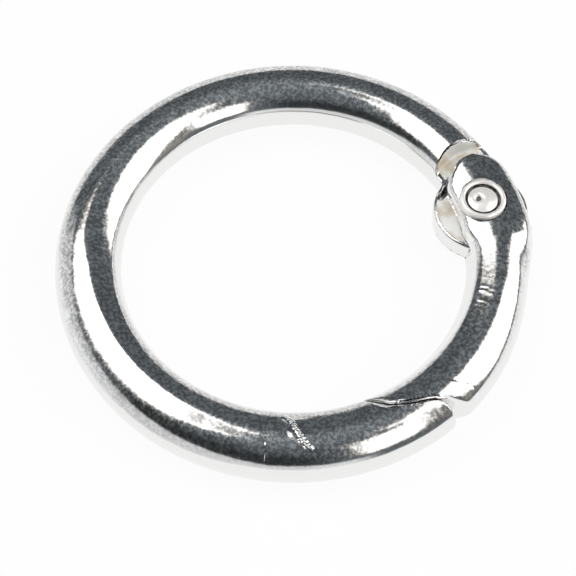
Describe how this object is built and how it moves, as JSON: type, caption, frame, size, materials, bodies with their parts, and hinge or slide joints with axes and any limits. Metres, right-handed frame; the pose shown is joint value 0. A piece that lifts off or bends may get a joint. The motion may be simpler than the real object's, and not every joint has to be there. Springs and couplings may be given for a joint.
{
  "type": "spring gate ring",
  "caption": "Round plated ring of round section with a riveted gate that swings inward and springs shut, for joining straps, keys or chains.",
  "frame": {"origin": "centre of the ring at mid-height of its round section", "axes": "+Z along the hinge axis, square to the ring's plane; +X to the gate's side; the ring lies flat in XY"},
  "size_m": [0.0276, 0.0276, 0.0038],
  "materials": {
    "plated_casting": "bright plated zinc casting with fine casting grain",
    "rivet_steel": "bright plated steel",
    "spring_steel": "drawn wire"
  },
  "bodies": {
    "ring": {"ring_body": "plated_casting", "return_spring": "spring_steel"},
    "gate": {"gate": "plated_casting", "hinge_rivet": "rivet_steel"}
  },
  "joints": [
    {"name": "gate_hinge", "type": "hinge", "parent": "ring", "child": "gate", "pos_m": [0.01101, 0.00316, 0], "axis": [0, 0, -1], "range_deg": [0, 60], "stiffness_Nm_per_rad": 0.012, "springref_deg": -34.38, "deforming": ["return_spring"]}
  ]
}
